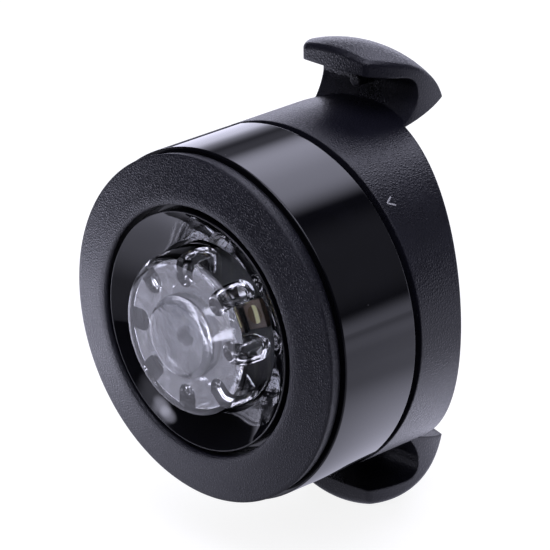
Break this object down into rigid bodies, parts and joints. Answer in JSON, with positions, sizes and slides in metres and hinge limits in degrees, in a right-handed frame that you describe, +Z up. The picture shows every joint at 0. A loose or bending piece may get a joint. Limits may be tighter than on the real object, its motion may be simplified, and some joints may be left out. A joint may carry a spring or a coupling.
{
  "type": "bicycle headlight",
  "caption": "Round strap-on bicycle headlight: clear ribbed push button in a gloss dish, twist-off rear housing with a handlebar saddle and strap hooks.",
  "frame": {"origin": "deepest point of the handlebar saddle at the back of the light, on the axis of the round body", "axes": "+Y backward into the handlebar so the light shines along -Y, +X to the right, +Z up through the upper strap hook"},
  "size_m": [0.042, 0.0383, 0.0572],
  "materials": {
    "grained_plastic": "matte black with a fine leather-like moulded grain",
    "gloss_black": "polished black",
    "seal_rubber": "matte",
    "clear_plastic": "clear polished",
    "switch_plastic": "satin",
    "switch_steel": "satin",
    "board_black": "satin solder mask",
    "led_white": "satin",
    "led_phosphor": "matte",
    "chip_black": "matte",
    "screw_steel": "satin",
    "carrier_plastic": "satin moulded",
    "contact_gold": "polished plating",
    "cell_steel": "satin",
    "contact_steel": "bright stamped strip"
  },
  "bodies": {
    "base": {"rear_housing": "grained_plastic", "housing_seal": "seal_rubber", "battery_tray": "carrier_plastic", "return_contact": "contact_steel", "coin_cell_front": "cell_steel", "coin_cell_rear": "cell_steel", "tray_screws": "screw_steel"},
    "head": {"head_carrier": "carrier_plastic", "body_sleeve": "gloss_black", "front_bezel": "grained_plastic", "bezel_seal": "seal_rubber", "bowl_insert": "gloss_black", "crown_gasket": "seal_rubber", "led_board": "board_black", "led_packages": "led_white", "led_phosphors": "led_phosphor", "driver_chips": "chip_black", "board_screws": "screw_steel", "switch_body": "switch_steel", "centre_pin": "contact_gold", "rim_pin": "contact_gold"},
    "button": {"crown_lens": "clear_plastic", "switch_stem": "switch_plastic"}
  },
  "joints": [
    {"name": "head_twist", "type": "hinge", "parent": "base", "child": "head", "pos_m": [0, 0, 0], "axis": [0, -1, 0], "range_deg": [0, 30]},
    {"name": "lens_press", "type": "slide", "parent": "head", "child": "button", "axis": [0, 1, 0], "range_m": [0, 0.0008], "stiffness_N_per_m": 1000, "springref_m": -0.001}
  ]
}
